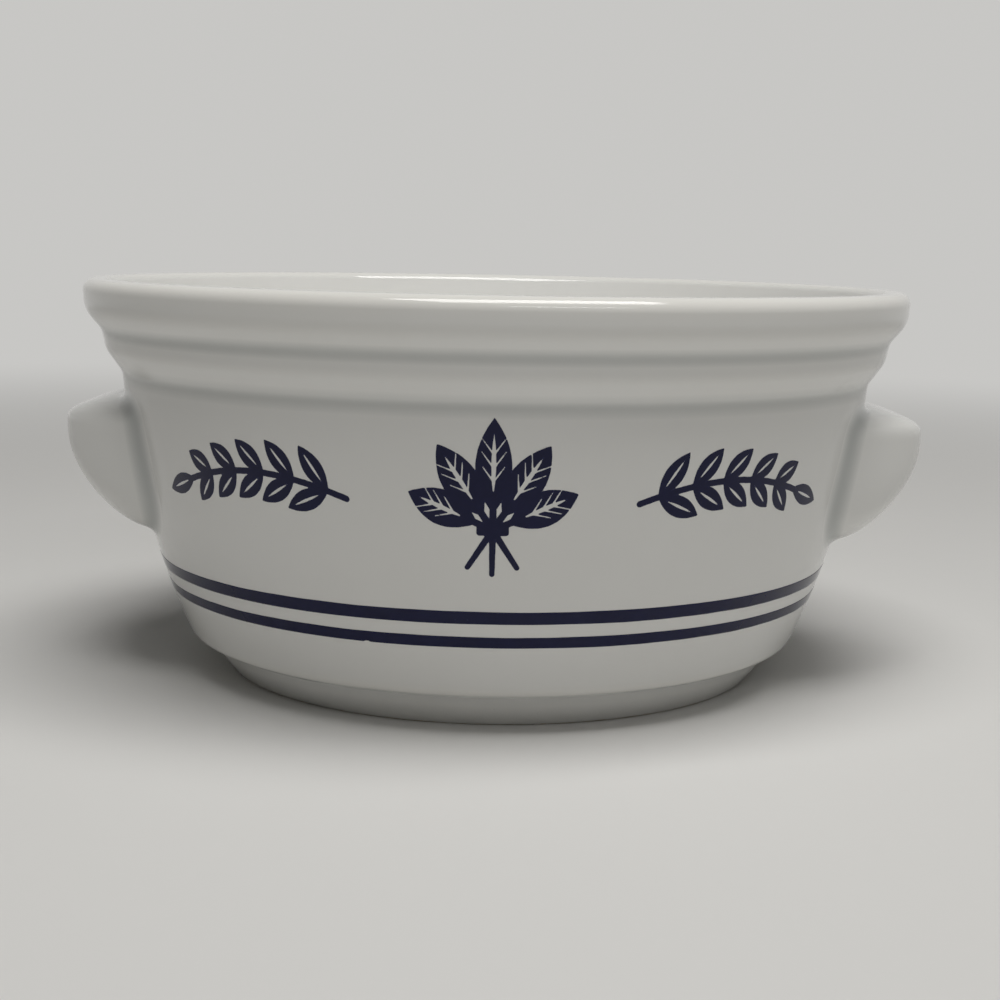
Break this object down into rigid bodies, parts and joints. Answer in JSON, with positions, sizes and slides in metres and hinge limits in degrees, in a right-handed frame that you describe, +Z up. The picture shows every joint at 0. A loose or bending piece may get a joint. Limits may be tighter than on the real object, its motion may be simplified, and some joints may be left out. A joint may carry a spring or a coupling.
{
  "type": "soup bowl",
  "caption": "Round glazed soup bowl with a stepped rim, solid lug handles at the sides, a foot ring, dark stripes above the foot and a leaf print on the front.",
  "frame": {"origin": "centre of the foot ring's resting face, on the bowl's axis", "axes": "+Z up along the bowl's axis, +X through the right lug handle as seen from the printed front, which faces -Y"},
  "size_m": [0.1596, 0.1516, 0.0715],
  "materials": {
    "white_glaze": "glossy clear glaze over a white fired body, bare on the foot ring's resting face",
    "fired_slip": "fired slip in the joint, under the glaze",
    "navy_pigment": "dark blue pigment under the glaze"
  },
  "bodies": {
    "root": {"bowl_body": "white_glaze", "right_lug_handle": "white_glaze", "left_lug_handle": "white_glaze", "right_bond_slip": "fired_slip", "left_bond_slip": "fired_slip", "upper_stripe": "navy_pigment", "lower_stripe": "navy_pigment", "front_leaf_bunch": "navy_pigment", "left_leaf_sprig": "navy_pigment", "right_leaf_sprig": "navy_pigment"}
  },
  "joints": []
}
